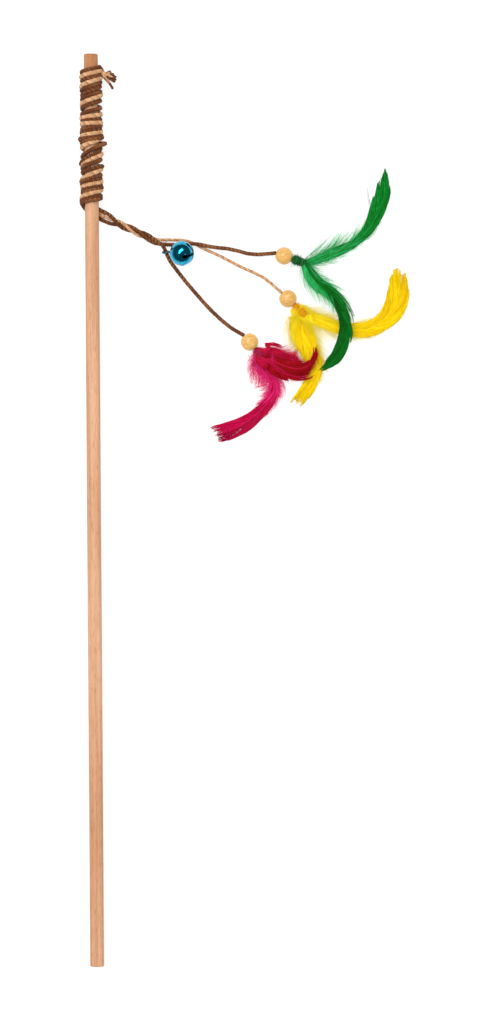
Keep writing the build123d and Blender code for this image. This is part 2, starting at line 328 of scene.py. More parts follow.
def end_grain_material():
    material, tree, shader = new_material("stick_end", 0.8)
    rings = noise(tree, (900, 1, 300), 4.0)
    colour = ramp(tree, rings, [(0.3, (0.42, 0.2, 0.095)), (0.7, (0.62, 0.35, 0.18))])
    tree.links.new(colour, shader.inputs["Base Color"])
    bump(tree, shader, rings, 0.4)
    return material


def bead_material():
    """Pale wood under a thin clear lacquer."""
    material, tree, shader = new_material("bead_wood", 0.42, Coat_Weight=0.5, Coat_Roughness=0.16)
    grain = noise(tree, (260, 900, 900), 4.0)
    colour = ramp(tree, grain, [(0.25, (0.6, 0.3, 0.065)), (0.5, (0.75, 0.42, 0.105)),
                                (0.75, (0.82, 0.52, 0.16))])
    tree.links.new(colour, shader.inputs["Base Color"])
    bump(tree, shader, grain, 0.12)
    return material


def bell_material(name, colour, dulled):
    """Polished metal with faint rolling marks, under a clear lacquer."""
    material, tree, shader = new_material(name, 0.1, Metallic=1.0, Coat_Weight=0.25, Coat_Roughness=0.04)
    marks = noise(tree, (300, 300, 900), 3.0)
    tint = ramp(tree, marks, [(0.3, dulled), (0.7, colour)])
    tree.links.new(tint, shader.inputs["Base Color"])
    tree.links.new(remapped(tree, marks, To_Min=0.05, To_Max=0.16), shader.inputs["Roughness"])
    bump(tree, shader, marks, 0.03)
    return material


def dyed(tones, roughness, sheen, grain):
    """Fibre materials by colour, each from its name and its dark, middle and light tones."""
    return {key: strand_material(*named, roughness, sheen, grain) for key, named in tones.items()}


yarn_material = dyed({
    "brown": ("brown_yarn", (0.03, 0.008, 0.002), (0.15, 0.0475, 0.0165), (0.38, 0.18, 0.075)),
    "beige": ("beige_yarn", (0.3, 0.14, 0.06), (0.55, 0.29, 0.143), (0.76, 0.5, 0.29)),
}, roughness=0.9, sheen=0.1, grain=1300)
yarn_kind = {"red": "brown", "yellow": "beige", "green": "brown"}
feather_material = dyed({
    "green": ("green_feather", (0.0, 0.035, 0.0), (0.0, 0.21, 0.014), (0.06, 0.66, 0.2)),
    "yellow": ("yellow_feather", (0.75, 0.4, 0.0), (0.95, 0.68, 0.0), (1.0, 0.9, 0.05)),
    "magenta": ("magenta_feather", (0.22, 0.0, 0.016), (0.56, 0.0, 0.06), (0.97, 0.035, 0.26)),
    "dark_red": ("dark_red_feather", (0.1, 0.0, 0.002), (0.35, 0.0, 0.005), (0.75, 0.01, 0.09)),
}, roughness=0.5, sheen=0.0, grain=400)
thread_material = dyed({
    "green": ("green_thread", (0.0, 0.02, 0.002), (0.004, 0.1, 0.014), (0.04, 0.3, 0.09)),
    "yellow": ("orange_thread", (0.5, 0.16, 0.0), (0.82, 0.36, 0.0), (0.95, 0.6, 0.0)),
    "red": ("red_thread", (0.12, 0.0, 0.008), (0.4, 0.0, 0.035), (0.8, 0.02, 0.16)),
}, roughness=0.8, sheen=0.2, grain=900)

# Cords, with the same points as in the part's source

lead_slope = math.radians(25.9)
lead_start = 6.8
row_gap = 2.35
row_height = 1.158
row_order = {"red": 1, "yellow": 0, "green": -1}
twist_pitch = 26.0
twist_start = 12.0
twist_end = 34.2
twist_length = 36.2
twist_radius = 1.443
twist_height = 2.643
twist_steps = 8
twist_angles = {"red": 140.0, "yellow": 20.0, "green": 260.0}
# Where the cords run into the twist: along the lead, beside it and above the row
lead_in = {
    "red": [(3.0, 2.2, 1.15), (6.0, 0.95, 2.5), (9.0, -0.8, 2.75)],
    "yellow": [(3.0, 0.1, 0.02), (6.0, 0.3, 0.05), (9.0, 1.5, 1.1)],
    "green": [(3.0, -2.25, 0.05), (6.0, -1.85, 0.12), (9.0, -0.85, 0.05)],
}
# Where they leave it: x, y and the gap under the cord
lead_out = {
    "red": [(39.7, -19.4, 2.5), (41.0, -21.6, 2.8), (42.0, -24.0, 2.95), (43.2, -27.0, 1.7)],
    "yellow": [(43.0, -16.9, 0.7), (48.2, -16.9, 0.05), (53.4, -17.2, 0.0), (58.2, -19.0, 0.0),
               (62.6, -21.6, 0.0)],
    "green": [(43.4, -19.6, 0.1), (47.6, -19.7, 0.0), (51.6, -19.6, 0.2), (54.8, -19.3, 1.75),
              (58.2, -19.2, 2.5), (62.4, -19.9, 2.0)],
}
strand_points = {
    "red": [(44.6, -29.6, 0.5), (47.3, -33.2, 0.0), (52.6, -40.2, 0.0), (58.4, -47.0, 0.0),
            (64.1, -53.7, 0.0), (69.7, -59.5, 0.0), (75.4, -64.7, 0.2), (81.0, -68.9, 1.7)],
    "yellow": [(67.6, -24.0, 0.0), (71.7, -25.7, 0.0), (78.0, -29.0, 0.0), (84.2, -32.4, 0.0),
               (91.4, -35.5, 0.0), (97.6, -38.7, 0.4), (102.8, -43.0, 2.2)],
    "green": [(67.2, -20.9, 0.3), (71.2, -21.5, 0.0), (76.8, -22.0, 0.0), (82.4, -23.2, 0.0),
              (88.6, -25.1, 0.0), (94.6, -25.6, 0.6), (100.0, -25.3, 2.3)],
}
bead_places = {"green": (109.3, -26.6), "yellow": (111.3, -51.0), "red": (89.3, -75.5)}
tassel_angles = {"green": -20.0, "yellow": -44.0, "red": -50.0}


def tassel_along(colour):
    angle = math.radians(tassel_angles[colour])
    return np.array((math.cos(angle), math.sin(angle), 0.0))


def bead_centre(colour):
    return place(*bead_places[colour], bead_radius)


def cord_points(colour):
    """Control points of one free cord, from the stick's side to its bead."""
    radius = cord_radius[colour]
    along_lead = np.array((math.cos(lead_slope), -math.sin(lead_slope)))
    across = np.array((math.sin(lead_slope), math.cos(lead_slope)))
    start = along_lead * lead_start / along_lead[0]
    points = [place(*(start + across * row_order[colour] * row_gap), row_height)]
    for along, side, rise in lead_in[colour]:
        points.append(place(*(start + along_lead * along + across * side), row_height + rise))
    for i in range(twist_steps + 1):
        along = twist_start + (twist_end - twist_start) * i / twist_steps
        angle = math.radians(twist_angles[colour] + 360 * (along - twist_length) / twist_pitch)
        side = across * (twist_radius * math.cos(angle))
        height = twist_height + twist_radius * math.sin(angle)
        points.append(place(*(start + along_lead * along + side), height))
    points += [place(x, y, radius + lift) for x, y, lift in lead_out[colour] + strand_points[colour]]
    points.append(bead_centre(colour) - tassel_along(colour) * (bead_radius * mm))
    return points


def smooth_route(points):
    """Points read from the smooth spline whose control points are a cord's route."""
    curve = bpy.data.curves.new("route", "CURVE")
    curve.dimensions = "3D"
    curve.resolution_u = 16
    spline = curve.splines.new("NURBS")
    spline.points.add(len(points) - 1)
    for control, point in zip(spline.points, points):
        control.co = (*point, 1)
    spline.order_u = 3
    spline.use_endpoint_u = True
    holder = linked("route", curve)
    bpy.context.view_layer.update()
    mesh = bpy.data.meshes.new_from_object(holder)
    path = np.array([v.co for v in mesh.vertices])
    bpy.data.objects.remove(holder)
    bpy.data.curves.remove(curve)
    bpy.data.meshes.remove(mesh)
    return path


path_step = 0.3
yarn_pitch = {"brown": 2.3, "beige": 3.6}
cord_swell = {"brown": 1.1, "beige": 0.9}
yarn_plies = {"brown": 2, "beige": 3}
ply_share = {"brown": 0.52, "beige": 0.5}
ply_sides = 8
fuzz_stations = 5
fuzz_thickness = 0.06
fuzz_reach = 1.1
# Loose fibres on each millimetre
cord_fuzz = 9
winding_fuzz = 5


def ply_path(path, radius, kind, ply):
    """One of the plies that twist round a yarn's line."""
    along = travelled(path)
    _, first, second = framed(path)
    angle = 2 * math.pi * (along / (yarn_pitch[kind] * mm) + ply / yarn_plies[kind])
    offset = radius * (1 - ply_share[kind])
    return path + offset * (np.cos(angle)[:, None] * first + np.sin(angle)[:, None] * second)


def add_yarn(strands, path, kind, radius, rng):
    """Plies twisted round a path, each with its own shade and a slightly uneven thickness."""
    along = travelled(path) / mm
    for ply in range(yarn_plies[kind]):
        phase = rng.uniform(0, 6.28)
        thick = radius * ply_share[kind] * (1 + 0.09 * np.sin(along * 1.9 + phase * 2))
        shade = 0.5 + 0.16 * (ply - 0.5)
        shade = shade + 0.12 * np.sin(along * 2.7 + phase * 3) + 0.1 * np.sin(along * 0.4 + phase)
        strands.tube(ply_path(path, radius, kind, ply), thick, ply_sides, shade)


def add_fuzz(strands, path, radius, count, reach, rng, thick=0.07):
    """Loose fibres that stand off a yarn."""
    tangents, first, second = framed(path)
    steps = np.linspace(0, 1, fuzz_stations)[:, None]
    hairs = []
    for _ in range(count):
        i = rng.randrange(len(path) - 1)
        angle = rng.uniform(0, 2 * math.pi)
        out = math.cos(angle) * first[i] + math.sin(angle) * second[i]
        side = np.cross(tangents[i], out)
        length = rng.uniform(0.35, 1.0) * reach
        ray = unit(out + rng.uniform(-1.6, 1.6) * tangents[i])
        curl = side * rng.uniform(-0.8, 0.8) - out * 0.35
        hairs.append(path[i] + out * radius * 0.8 + (ray * steps + curl * steps**2) * length)
    hairs = np.array(hairs)
    hairs[..., 2] = np.maximum(hairs[..., 2], floor_z * mm)
    width = np.broadcast_to(np.linspace(thick, thick * 0.45, fuzz_stations) * mm, hairs.shape[:2])
    shades = np.array([[rng.uniform(0.35, 0.85)] * fuzz_stations for _ in range(count)])
    strands.strips(hairs, width, fuzz_thickness * mm, shades)


def free_cord(colour):
    rng = random.Random(f"cord {colour}")
    kind = yarn_kind[colour]
    radius = cord_radius[colour] * mm
    path = resampled(smooth_route(cord_points(colour)), path_step * mm)
    strands = Strands()
    add_yarn(strands, path, kind, radius * cord_swell[kind], rng)
    length = travelled(path)[-1]
    add_fuzz(strands, path, radius, int(length / mm * cord_fuzz), fuzz_reach * mm, rng)
    obj = strands.made(f"cord_{colour}", yarn_material[kind])
    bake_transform(obj)
    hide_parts(f"lead_{colour}", f"strand_{colour}")


for colour in colours:
    free_cord(colour)

# Round pieces turned on an axis


def turned(name, profile, origin, axis, sides, materials, closed=False):
    """A turned piece: profile points are a distance along the axis and a radius, in millimetres."""
    axis = unit(np.asarray(axis, float))
    side = unit(np.cross(axis, slanted))
    ring = circle(side, np.cross(axis, side), sides)
    rings = [np.asarray(origin) + axis * along * mm + ring * radius * mm for along, radius in profile]
    points = np.concatenate(rings)
    rows = len(profile)
    faces = []
    for i in range(rows if closed else rows - 1):
        here = i * sides
        after = (i + 1) % rows * sides
        for k in range(sides):
            beside = (k + 1) % sides
            faces.append([here + k, here + beside, after + beside, after + k])
    if not closed:
        faces.append(list(range(sides))[::-1])
        faces.append([(rows - 1) * sides + k for k in range(sides)])
    return linked(name, smooth_mesh(name, points, faces, materials))


stick_rows = 120
stick_sides = 64
stick_waver = 0.025
end_middle = 0.4
end_facing = 0.8


def make_stick():
    """The dowel: rounded ends and a faintly uneven side."""
    rng = random.Random("stick")
    arc = [math.radians(a) for a in range(0, 91, 15)]
    inner = stick_radius - stick_round
    profile = [(0.0, end_middle), (0.0, inner * 0.5)]
    profile += [(stick_round - stick_round * math.cos(a), inner + stick_round * math.sin(a)) for a in arc]
    for i in range(1, stick_rows):
        profile.append((i * stick_length / stick_rows, stick_radius + rng.uniform(-stick_waver, 0.0)))
    profile += [(stick_length - along, radius) for along, radius in profile[1 + len(arc):0:-1]]
    profile.append((stick_length, end_middle))
    axis = (0.0, math.cos(stick_lean), math.sin(stick_lean))
    materials = [stick_material(), end_grain_material()]
    obj = turned("beech_stick", profile, (0, 0, 0), axis, stick_sides, materials)
    for face in obj.data.polygons:
        if abs(face.normal.y) > end_facing:
            face.material_index = 1
    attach(obj, "wand")
    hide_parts("stick")


make_stick()

# Winding

# Each turn's place on the stick's upper side, past the lead's exit, and its climb from left to right
winding_bands = {
    "red": [(7.0, 2.6), (13.0, 3.0), (16.4, 3.2), (23.3, 3.5), (30.8, 9.0), (41.5, 1.8), (45.2, 1.5),
            (51.4, 0.0), (60.3, 4.2), (68.0, 5.0), (75.4, 3.2)],
    "yellow": [(9.6, 4.2), (14.7, 3.2), (20.4, 6.5), (29.0, 6.0), (38.4, 5.4), (43.4, 2.4), (49.5, 0.6),
               (53.4, 2.0), (62.9, 5.5), (72.9, 5.0), (77.7, 4.0)],
    "green": [(5.6, 2.4), (11.3, 3.0), (18.2, 3.6), (26.4, 5.0), (34.2, 8.0), (39.9, 3.0), (46.9, 1.6),
              (56.4, 3.4), (65.4, 4.6), (70.3, 4.6), (80.0, 2.8)],
}
# Loose loops: the turn, the side (0 is left, 1 is right) and how far the loop stands off
winding_loops = {"red": [(5, 0.0, 1.2), (3, 1.0, 0.7)], "yellow": [(3, 1.0, 0.3)],
                 "green": [(4, 1.0, 2.6), (0, 0.0, 0.5)]}
winding_rest = {"red": 5.1, "yellow": 5.3, "green": 5.15}
winding_swell = {"brown": 1.2, "beige": 1.42}
winding_steps = 44
winding_squash = 0.62
winding_climb = 0.9
winding_step = 0.35
loop_width = 0.09
under_from = 0.2
same_row = 0.35
settling_rounds = 30
settling_step = 0.5
easing = 5
wide_easing = 9


def band_knots(colour):
    """Turns counted from the first left side, and the place along the stick at each."""
    turns = [-0.25]
    places = [row_order[colour] * row_gap]
    for k, (middle, climb) in enumerate(winding_bands[colour]):
        turns += [k, k + 0.25, k + 0.5]
        places += [middle - climb / 2, middle, middle + climb / 2]
    return turns, places


def eased(values, width):
    kernel = np.hanning(width + 2)[1:-1]
    padded = np.pad(values, width // 2, mode="edge")
    return np.convolve(padded, kernel / kernel.sum(), mode="valid")


def winding_lines():
    """Each cord's line round the stick: where cords meet, the later one climbs over the earlier one."""
    parts = []
    for number, colour in enumerate(colours):
        knots, places = band_knots(colour)
        turns = np.linspace(knots[0], knots[-1], int((knots[-1] - knots[0]) * winding_steps))
        bulge = np.zeros(len(turns))
        for k, half, size in winding_loops[colour]:
            bulge += size * np.exp(-((turns - k - half / 2) / loop_width) ** 2)
        along = eased(np.interp(turns, knots, places), wide_easing)
        parts.append((np.full(len(turns), number), turns, along, bulge))
    owner, turn, along, bulge = (np.concatenate(column) for column in zip(*parts))
    rest = np.array([winding_rest[c] for c in colours])[owner]
    reach = rest.copy()
    size = np.array([cord_radius[c] for c in colours])[owner]
    angle = 2 * math.pi * turn
    lift = (exit_y + along) * stick_lean
    under = np.sin(angle) < -under_from
    lowest = (floor_z - lift + size * winding_swell["brown"]) / np.minimum(np.sin(angle), -under_from)
    near_row = (owner[:, None] == owner[None]) & (np.abs(turn[:, None] - turn[None]) < same_row)
    passed = near_row | (turn[:, None] <= turn[None])
    for _ in range(settling_rounds):
        points = np.stack([-reach * np.cos(angle), along, reach * np.sin(angle)], axis=1)
        apart = np.linalg.norm(points[:, None] - points[None], axis=2)
        short = (size[:, None] + size[None]) * winding_squash - apart
        short[passed] = 0
        pushed = reach + settling_step * np.clip(short, 0, None).max(axis=1)
        reach = np.minimum(pushed, rest + winding_climb)
        reach[under] = np.minimum(reach, lowest)[under]
        for number in range(len(colours)):
            mine = owner == number
            reach[mine] = eased(reach[mine], easing)
    reach = reach + bulge
    points = np.stack([-reach * np.cos(angle), exit_y + along, lift + reach * np.sin(angle)], axis=1) * mm
    return {c: points[owner == number] for number, c in enumerate(colours)}


# Cut ends: where each cord's last turn runs to, and where its frayed plies end
tail_root = {"red": (8.8, 77.2, 7.4), "yellow": (8.4, 76.4, 9.0), "green": (8.6, 75.2, 7.2)}
tail_tips = {
    "red": [(13.2, 77.2, 7.2), (14.4, 75.4, 7.0), (13.7, 73.0, 6.2)],
    "yellow": [(10.8, 78.2, 8.8), (11.4, 75.8, 9.0), (10.4, 72.8, 8.2)],
    "green": [(11.4, 79.0, 7.8), (14.2, 74.2, 5.8), (12.4, 69.2, 4.4)],
}
fray_radius = 0.72
fray_bend = 0.8
fray_fuzz = 50
fray_tip_fuzz = 26


def hand_drawn(points, step):
    """A smooth line through a few points."""
    points = np.asarray(points, float)
    share = np.linspace(0, len(points) - 1, int(travelled(points)[-1] / step) + 2)
    index = np.clip(share.astype(int), 0, len(points) - 2)
    part = (share - index)[:, None]
    before = points[np.maximum(index - 1, 0)]
    here, after = points[index], points[index + 1]
    beyond = points[np.minimum(index + 2, len(points) - 1)]
    return 0.5 * (2 * here + (after - before) * part + (2 * before - 5 * here + 4 * after - beyond) * part**2
                  + (3 * here - before - 3 * after + beyond) * part**3)


def make_windings():
    lines = winding_lines()
    for colour in colours:
        rng = random.Random(f"winding {colour}")
        kind = yarn_kind[colour]
        radius = cord_radius[colour] * winding_swell[kind] * mm
        line = lines[colour]
        start = cord_points(colour)[0]
        tail = hand_drawn([line[-3], line[-1], place(*tail_root[colour])], path_step * mm)
        path = np.concatenate([hand_drawn([start, line[0], line[2]], path_step * mm)[:-1], line[2:-2], tail])
        path = resampled(path, winding_step * mm)
        for k in range(3):
            path[:, k] = eased(path[:, k], easing)
        strands = Strands()
        add_yarn(strands, path, kind, radius, rng)
        for ply, tip in enumerate(tail_tips[colour]):
            end = place(*tip)
            bend = np.array((rng.uniform(-1, 1), rng.uniform(-1, 1), rng.uniform(0, 1))) * fray_bend * mm
            ends = ply_path(path, radius, kind, ply)[-8:]
            fray = hand_drawn([ends[0], ends[-1], (ends[-1] + end) / 2 + bend, end], path_step * mm)
            share = np.linspace(0, 1, len(fray))
            thick = fray_radius * mm * np.interp(share, [0, 0.6, 0.92, 1], [1, 0.95, 1.1, 0.6])
            strands.tube(fray, thick, 7, 0.45 + rng.uniform(-0.15, 0.15))
            add_fuzz(strands, fray, 0.5 * mm, fray_fuzz, 1.4 * mm, rng, 0.12)
            add_fuzz(strands, fray[-4:], 0.5 * mm, fray_tip_fuzz, 1.2 * mm, rng)
        add_fuzz(strands, path, radius, int(travelled(path)[-1] / mm * winding_fuzz), fuzz_reach * mm, rng)
        obj = strands.made(f"winding_yarn_{colour}", yarn_material[kind])
        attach(obj, "wand")
        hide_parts(f"winding_{colour}", f"tail_{colour}")


make_windings()

# Beads, the cord ends inside them, and the thread bound round cord and quills

bead_rows = 32
bead_sides = 48
mouth_flare = 0.25
mouth_depth = 0.3
bore_row = 0.4
cord_end_inset = 0.5
cord_end_hold = 2.6


def make_bead(colour, material):
    mouth = math.asin((bead_bore + mouth_flare) / bead_radius)
    profile = []
    for i in range(bead_rows + 1):
        angle = -math.pi / 2 + mouth + (math.pi - 2 * mouth) * i / bead_rows
        profile.append((bead_radius * math.sin(angle), bead_radius * math.cos(angle)))
    depth = profile[-1][0]
    rows = (depth - mouth_depth, depth * bore_row, -depth * bore_row, -depth + mouth_depth)
    profile += [(row, bead_bore) for row in rows]
    obj = turned(f"wood_bead_{colour}", profile, bead_centre(colour), tassel_along(colour), bead_sides,
                 [material], closed=True)
    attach(obj, f"tassel_{colour}")
    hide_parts(f"bead_{colour}")


def make_cord_end(colour):
    rng = random.Random(f"cord end {colour}")
    kind = yarn_kind[colour]
    along = tassel_along(colour)
    reach = (-bead_radius + cord_end_inset, binding_start + cord_end_hold)
    ends = [bead_centre(colour) + along * d * mm for d in reach]
    path = resampled(ends, path_step * mm)
    strands = Strands()
    add_yarn(strands, path, kind, cord_radius[colour] * mm, rng)
    obj = strands.made(f"bead_yarn_{colour}", yarn_material[kind])
    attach(obj, f"tassel_{colour}")
    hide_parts(f"cord_end_{colour}")


thread_radius = 0.22
thread_turns = 17
thread_points = 18
thread_sides = 6
thread_fuzz = 340
thread_fuzz_reach = 2.6
thread_fuzz_width = 0.2
core_inset = 0.3
core_cover = 0.55
# Lumps of wound thread: each one's distance behind the bead's centre, its length and its radius
thread_lumps = {
    "red": [(8.2, 5.6, 1.9)],
    "yellow": [(7.2, 3.8, 1.6), (11.6, 4.6, 2.5)],
    "green": [(8.6, 7.2, 2.7)],
}


def wound_thread(strands, centre, along, length, belly, rng):
    """Thread wound to and fro round an axis, thickest in the middle."""
    across = unit(np.cross(along, (0, 0, 1.0)))
    upright = np.cross(across, along)
    share = np.linspace(0, 1, thread_turns * thread_points)
    angle = share * thread_turns * 2 * math.pi
    shuttle = 0.5 - 0.5 * np.cos(share * 3 * math.pi)
    wobble = 0.24 * np.sin(angle * 0.37 + rng.uniform(0, 6)) + 0.2 * np.sin(angle * 0.11)
    radius = belly * (0.62 + 0.38 * np.sin(math.pi * shuttle)) * (0.9 + 0.1 * share) + wobble
    offset = (shuttle - 0.5) * length
    path = (centre + along * offset[:, None] * mm
            + (across * np.cos(angle)[:, None] + upright * np.sin(angle)[:, None]) * radius[:, None] * mm)
    path[:, 2] = np.maximum(path[:, 2], (floor_z + thread_radius) * mm)
    strands.tube(path, thread_radius * mm, thread_sides, 0.5 + 0.25 * np.sin(angle * 0.53))
    return path


def make_binding(colour):
    rng = random.Random(f"binding {colour}")
    along = tassel_along(colour)
    strands = Strands()
    for middle, length, belly in thread_lumps[colour]:
        centre = bead_centre(colour) + along * middle * mm
        half = along * (length / 2 - core_inset) * mm
        strands.tube(resampled([centre - half, centre + half], 0.5 * mm), (belly - core_cover) * mm, 10, 0.3)
        path = wound_thread(strands, centre, along, length - 2 * core_inset, belly, rng)
        add_fuzz(strands, path, thread_radius * mm, thread_fuzz, thread_fuzz_reach * mm, rng,
                 thread_fuzz_width)
    obj = strands.made(f"thread_binding_{colour}", thread_material[colour])
    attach(obj, f"tassel_{colour}")
    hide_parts(f"binding_{colour}")


bead_wood = bead_material()
for colour in colours:
    make_bead(colour, bead_wood)
    make_cord_end(colour)
    make_binding(colour)

# Bell: the solids keep their shape and get polished metal

bell_coat = bell_material("bell_metal", (0.008, 0.38, 0.6), (0.004, 0.33, 0.54))
wire_coat = bell_material("bell_wire", (0.02, 0.2, 0.32), (0.02, 0.14, 0.24))
pellet_coat = bell_material("pellet_steel", (0.5, 0.5, 0.5), (0.4, 0.4, 0.4))
for name, coat in (("bell_loop_shell", bell_coat), ("bell_slot_shell", bell_coat), ("bell_loop", wire_coat),
                   ("bell_pellet", pellet_coat)):
    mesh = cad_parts[name].data
    mesh.materials.clear()
    mesh.materials.append(coat)

# Feathers

# Root is where the spine starts behind the bead's centre, lie its height above the table, and quill whether
# it is bound above or below the cord. Left and right are the vane's edges: shares of the spine and half
# widths. Down is how far hairs reach past them, up to a share of the spine, in tufts of a few hairs. Wisps
# says how few are long, lean how far they point along the spine, fluff the shade of their tips. Ragged and
# spiky are how uneven the vane's end and edges are, shade and blade the tones of each half at its base and
# beyond. Locks are barbs that have parted from the vane: their count, width, spread and places
feathers = {
    "feather_green_upper": dict(
        tassel="green", root=9.0, dye="green", lie=1.3, quill=-1,
        spine=[(129.8, -28.1), (141.2, -23.6), (149.8, -18.5), (156.1, -13.4), (160.2, -7.7), (164.2, 0.2),
               (166.5, 7.6), (167.4, 15.0), (167.8, 20.6)],
        left=[(0.03, 1.4), (0.12, 2.0), (0.28, 1.8), (0.5, 1.0), (0.57, 1.3), (0.67, 3.4),
              (0.8, 5.0), (0.91, 4.2), (1, 1.2)],
        right=[(0.03, 1.2), (0.11, 2.0), (0.22, 2.4), (0.36, 2.6), (0.5, 2.5), (0.6, 2.6),
               (0.75, 3.2), (0.89, 3.1), (1, 0.6)],
        down=(12.0, 6.0), down_until=0.6, tufts=170, hairs=3, wisps=3.2, lean=1.0,
        fluff=0.95, ragged=0.9, spiky=0.2, shade=(0.6, 0.54), blade=(0.5, 0.38),
        locks=[(5, 0.15, 0.5, [(160.4, -3.0), (158.8, 1.5), (157.6, 7.0), (157.2, 12.5)]),
               (14, 0.3, 0.5, [(124.0, -31.8), (132.0, -27.0), (140.0, -21.6), (147.4, -18.6)]),
               (8, 0.2, 0.4, [(123.0, -31.4), (128.0, -27.2), (134.0, -23.4), (141.0, -21.0)])]),
    "feather_green_lower": dict(
        tassel="green", root=9.0, dye="green", lie=6.4, quill=1,
        spine=[(126.9, -40.6), (135.4, -48.0), (141.0, -54.9), (144.4, -62.4), (144.9, -69.2), (142.6, -77.7),
               (138.0, -85.1), (130.0, -91.4)],
        left=[(0.03, 1.4), (0.1, 2.4), (0.22, 3.2), (0.33, 3.2), (0.45, 2.6), (0.6, 1.8), (0.75, 2.2),
              (0.88, 3.2), (0.96, 2.2), (1, 0.9)],
        right=[(0.03, 1.8), (0.12, 3.8), (0.26, 4.2), (0.37, 3.0), (0.52, 3.4), (0.68, 4.4), (0.82, 3.8),
               (0.93, 2.6), (1, 0.5)],
        down=(8.0, 7.5), down_until=0.5, tufts=170, hairs=3, wisps=2.8, lean=0.8,
        fluff=0.95, ragged=1.2, spiky=0.2, shade=(0.3, 0.72), blade=(0.3, 0.24),
        locks=[(14, 0.34, 0.4, [(130.0, -40.0), (138.6, -46.4), (145.4, -54.0), (149.2, -61.5)]),
               (10, 0.3, 0.3, [(132.0, -43.0), (141.0, -50.6), (147.2, -59.0), (148.8, -66.0)]),
               (30, 0.46, 0.8, [(142.8, -58.0), (146.0, -65.0), (147.6, -71.0), (146.8, -76.4)])]),
    "feather_yellow_right": dict(
        tassel="yellow", root=4.0, dye="yellow", lie=1.3, quill=1,
        spine=[(129.6, -63.4), (140.9, -68.0), (149.5, -69.2), (158.0, -68.2), (166.6, -62.5), (172.4, -55.1),
               (174.7, -46.6), (175.2, -35.4)],
        left=[(0.03, 0.8), (0.1, 2.0), (0.18, 2.6), (0.3, 2.8), (0.42, 3.6), (0.56, 4.0), (0.68, 3.6),
              (0.75, 4.8), (0.84, 6.2), (0.94, 5.2), (1, 3.4)],
        right=[(0.03, 1.6), (0.12, 3.4), (0.29, 3.0), (0.39, 3.3), (0.48, 3.2), (0.57, 4.3), (0.67, 5.3),
               (0.78, 6.2), (0.87, 6.2), (0.91, 4.6), (0.96, 3.8), (1, 2.6)],
        down=(7.0, 7.0), down_until=0.6, tufts=180, hairs=5, wisps=2.2, lean=0.6,
        fluff=0.8, ragged=1.4, spiky=0.2, shade=(0.6, 0.58), blade=(0.36, 0.3), locks=[]),
    "feather_yellow_lower": dict(
        tassel="yellow", root=3.6, dye="yellow", lie=1.3, quill=-1,
        spine=[(119.6, -69.0), (124.9, -80.5), (127.1, -89.0), (124.6, -97.6), (116.4, -110.2)],
        left=[(0.03, 0.8), (0.12, 2.0), (0.2, 4.0), (0.3, 5.8), (0.42, 4.6), (0.55, 3.0), (0.73, 3.0),
              (0.88, 4.0), (1, 2.6)],
        right=[(0.02, 4.2), (0.06, 5.4), (0.12, 6.4), (0.23, 7.0), (0.38, 6.6), (0.5, 6.2), (0.62, 5.2),
               (0.75, 3.6), (0.88, 3.2), (1, 3.4)],
        down=(8.0, 7.0), down_until=0.75, tufts=180, hairs=5, wisps=1.9, lean=0.6,
        fluff=0.8, ragged=1.7, spiky=0.3, shade=(0.6, 0.6), blade=(0.36, 0.36), locks=[]),
    "feather_magenta": dict(
        tassel="red", root=3.6, dye="magenta", lie=1.3, quill=-1,
        spine=[(96.6, -87.7), (101.4, -95.7), (103.1, -100.8), (101.3, -107.1), (96.4, -113.3),
               (89.3, -119.5), (81.0, -124.2), (70.3, -128.0)],
        left=[(0.04, 1.4), (0.12, 2.8), (0.25, 3.0), (0.36, 2.2), (0.48, 1.8), (0.61, 3.2), (0.73, 4.3),
              (0.87, 4.9), (0.96, 5.0), (1, 4.2)],
        right=[(0.04, 1.8), (0.12, 3.2), (0.25, 3.2), (0.34, 2.2), (0.45, 1.5), (0.58, 1.8), (0.7, 3.1),
               (0.84, 4.0), (0.95, 4.6), (1, 4.4)],
        down=(7.5, 10.0), down_until=0.58, tufts=260, hairs=5, wisps=1.5, lean=0.4,
        fluff=1.0, ragged=1.0, spiky=0.2, shade=(0.66, 0.74), blade=(0.32, 0.44), locks=[]),
    "feather_dark_red": dict(
        tassel="red", root=3.6, dye="dark_red", lie=4.6, quill=1,
        spine=[(101.0, -85.4), (106.2, -88.0), (112.0, -90.2), (117.0, -91.0), (121.2, -90.0), (124.3, -87.9),
               (126.6, -83.6), (126.8, -80.6)],
        left=[(0.04, 1.2), (0.1, 3.4), (0.17, 6.0), (0.25, 8.0), (0.34, 8.2), (0.43, 7.0), (0.54, 5.6),
              (0.65, 4.6), (0.74, 2.8), (0.83, 1.3), (0.93, 1.2), (1, 0.6)],
        right=[(0.04, 0.3), (0.14, 0.6), (0.22, 1.4), (0.3, 3.6), (0.4, 5.8), (0.54, 6.4), (0.65, 5.8),
               (0.72, 4.8), (0.78, 3.0), (0.84, 1.3), (0.93, 1.2), (1, 0.6)],
        down=(5.0, 2.0), down_until=0.55, tufts=200, hairs=5, wisps=1.4, lean=0.6,
        fluff=1.0, ragged=0.8, spiky=1.8, shade=(0.8, 0.66), blade=(0.44, 0.36), locks=[]),
}
quill_radius = 0.45
quill_rise = 0.55
barb_length = 16.0
barb_width = 0.5
barb_count = 620
barb_clump = 11
barb_stations = 9
barb_thickness = 0.1
bare_quill = 3.0
lying_height = 3.0
table_gap = 0.05
spine_step = 0.25
vane_arch = 0.35 * math.pi / 5
down_width = 0.14
down_thickness = 0.08
down_stations = 7
fringe_reach = 0.7
# Shares of the spine: the vane's end, where its end gets ragged, its slim base and its blade
vane_end = 1.01
ragged_from = 0.88
base_until = 0.36
blade_from = 0.32


